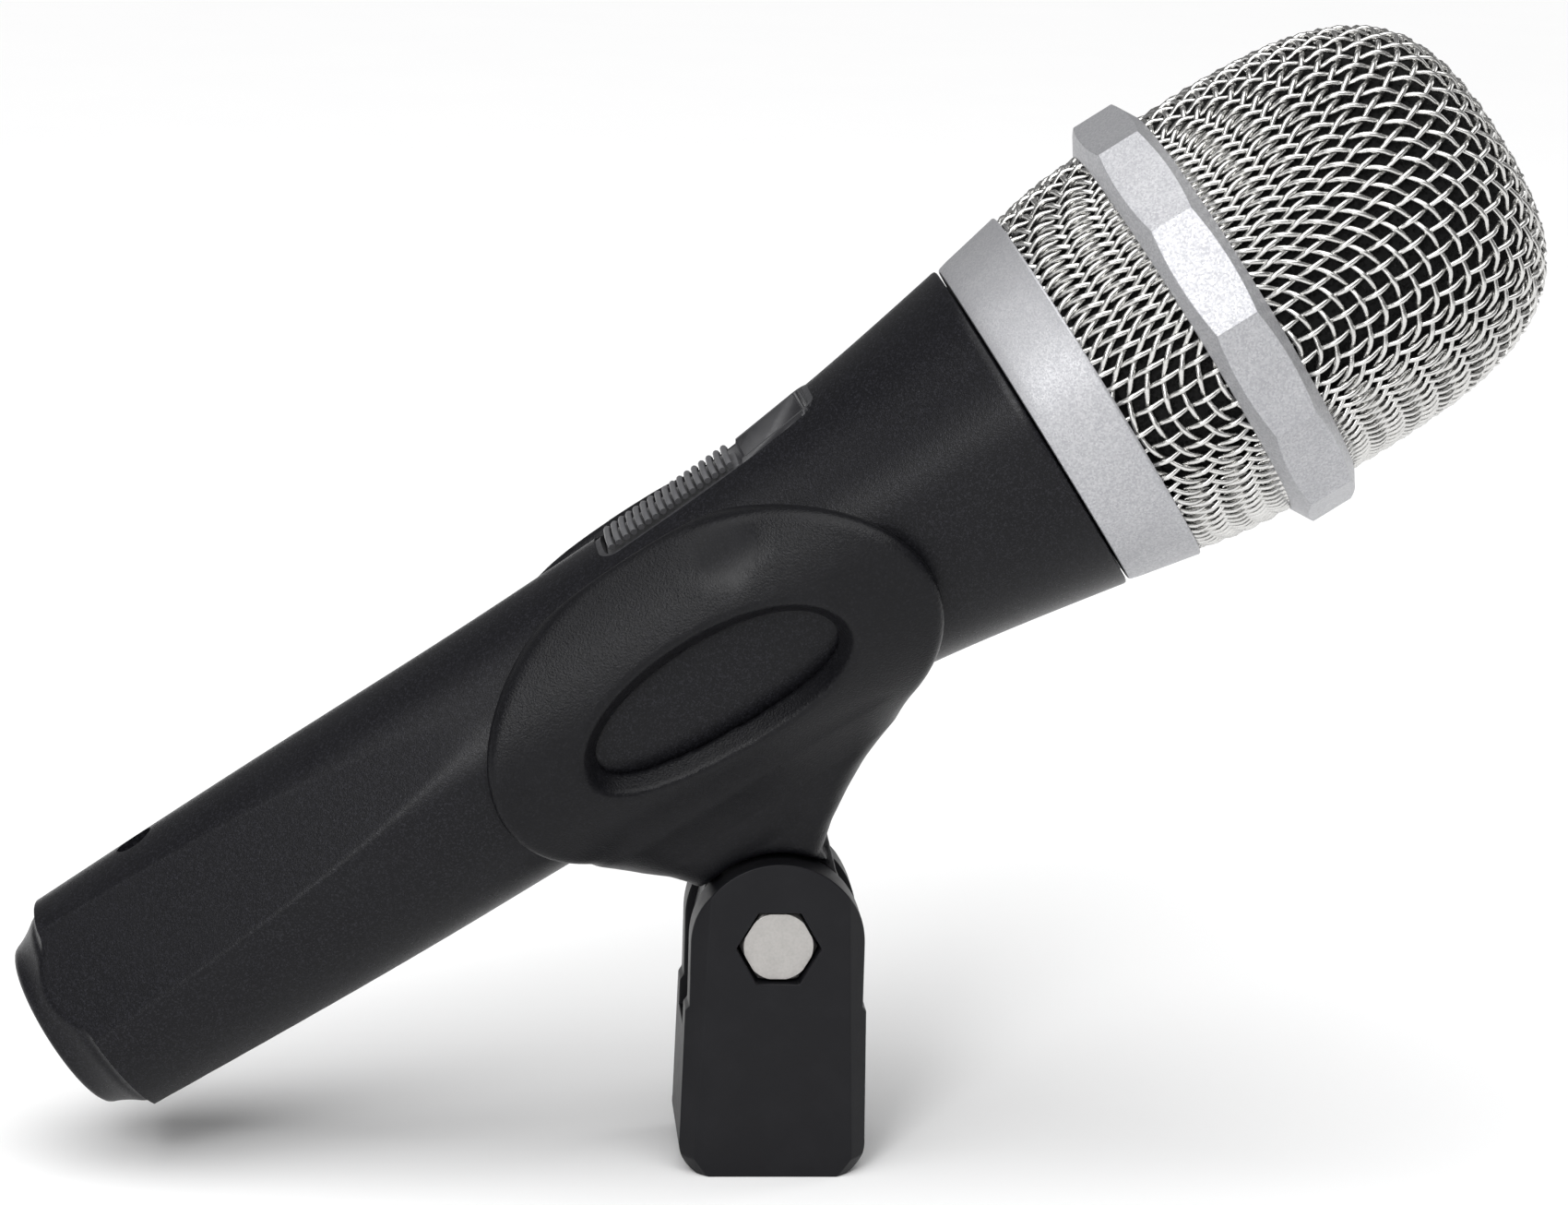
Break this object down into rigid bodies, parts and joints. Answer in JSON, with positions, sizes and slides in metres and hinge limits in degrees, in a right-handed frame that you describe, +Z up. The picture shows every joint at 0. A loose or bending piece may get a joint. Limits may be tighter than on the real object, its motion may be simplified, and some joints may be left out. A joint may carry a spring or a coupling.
{
  "type": "dynamic microphone",
  "caption": "Hand-held dynamic vocal microphone with a woven wire ball grille, faceted ring, silver collar, ribbed slide switch and tapered grip, held in a pivoting stand clip.",
  "frame": {"origin": "centre of the stand adapter's thread mouth, on its bottom face", "axes": "+Z up along the stand thread, +X towards the microphone's head in plan, +Y towards the far cheek of the clip, along the hinge bolt"},
  "size_m": [0.1773, 0.0534, 0.1368],
  "materials": {
    "handle_paint": "near-black satin paint with a fine sparkle over a die-cast alloy",
    "silver_paint": "matte silver paint with a fine metallic grain",
    "grille_wire": "bright nickel-plated round wire",
    "foam": "open-cell black foam",
    "clip_nylon": "black moulded nylon, fine texture with worn smooth patches",
    "adapter_nylon": "dark grey-black moulded plastic",
    "brass": "turned brass",
    "bolt_zinc": "satin zinc plating",
    "tray_plastic": "black moulded plastic, slightly glossy",
    "slider_plastic": "dark grey moulded plastic",
    "switch_metal": "folded tinned steel",
    "board": "green circuit board",
    "insert_plastic": "black moulded plastic",
    "pin_silver": "silver-plated contact",
    "screw_black": "black oxide steel",
    "lead_jacket": "soft insulated wire",
    "soft_rubber": "soft black rubber",
    "capsule_plastic": "black moulded plastic",
    "felt": "dark felt",
    "yoke_steel": "plated soft iron",
    "magnet_alloy": "nickel-plated neodymium",
    "diaphragm_film": "thin clear polyester film",
    "coil_copper": "fine enamelled copper wire"
  },
  "bodies": {
    "stand": {"stand_adapter": "adapter_nylon", "thread_insert": "brass", "hinge_bolt": "bolt_zinc", "hinge_nut": "bolt_zinc", "hinge_washers": "bolt_zinc"},
    "clip": {"clip_cradle": "clip_nylon"},
    "microphone": {"handle_shell": "handle_paint", "switch_plate": "tray_plastic", "slide_switch": "switch_metal", "switch_circuit_board": "board", "switch_screws": "bolt_zinc", "xlr_insert": "insert_plastic", "xlr_pins": "pin_silver", "xlr_set_screw": "screw_black", "plug_leads": "lead_jacket", "capsule_leads": "lead_jacket", "shock_mount": "soft_rubber", "capsule_housing": "capsule_plastic", "capsule_cap": "capsule_plastic", "capsule_screen": "felt", "magnet_yoke": "yoke_steel", "magnet": "magnet_alloy", "pole_piece": "yoke_steel", "rear_chamber": "capsule_plastic", "acoustic_felt": "felt"},
    "switch_button": {"switch_slider": "slider_plastic", "switch_lever": "slider_plastic"},
    "grille_head": {"grille_collar": "silver_paint", "grille_lower": "grille_wire", "grille_ring": "silver_paint", "grille_top": "grille_wire", "foam_liner": "foam"},
    "moving_coil": {"diaphragm": "diaphragm_film", "voice_coil": "coil_copper"}
  },
  "joints": [
    {"name": "clip_tilt", "type": "hinge", "parent": "stand", "child": "clip", "pos_m": [0, 0, 0.0283], "axis": [0, -1, 0], "range_deg": [-83.3, 50]},
    {"name": "microphone_release", "type": "slide", "parent": "clip", "child": "microphone", "axis": [0.8358, 0, 0.549], "range_m": [0, 0.125]},
    {"name": "switch_slide", "type": "slide", "parent": "microphone", "child": "switch_button", "axis": [0.8358, 0, 0.549], "range_m": [0, 0.0085]},
    {"name": "grille_off", "type": "slide", "parent": "microphone", "child": "grille_head", "axis": [0.8358, 0, 0.549], "range_m": [0, 0.06]},
    {"name": "diaphragm_travel", "type": "slide", "parent": "microphone", "child": "moving_coil", "axis": [0.8358, 0, 0.549], "range_m": [-0.0003, 0.0003], "stiffness_N_per_m": 500}
  ]
}
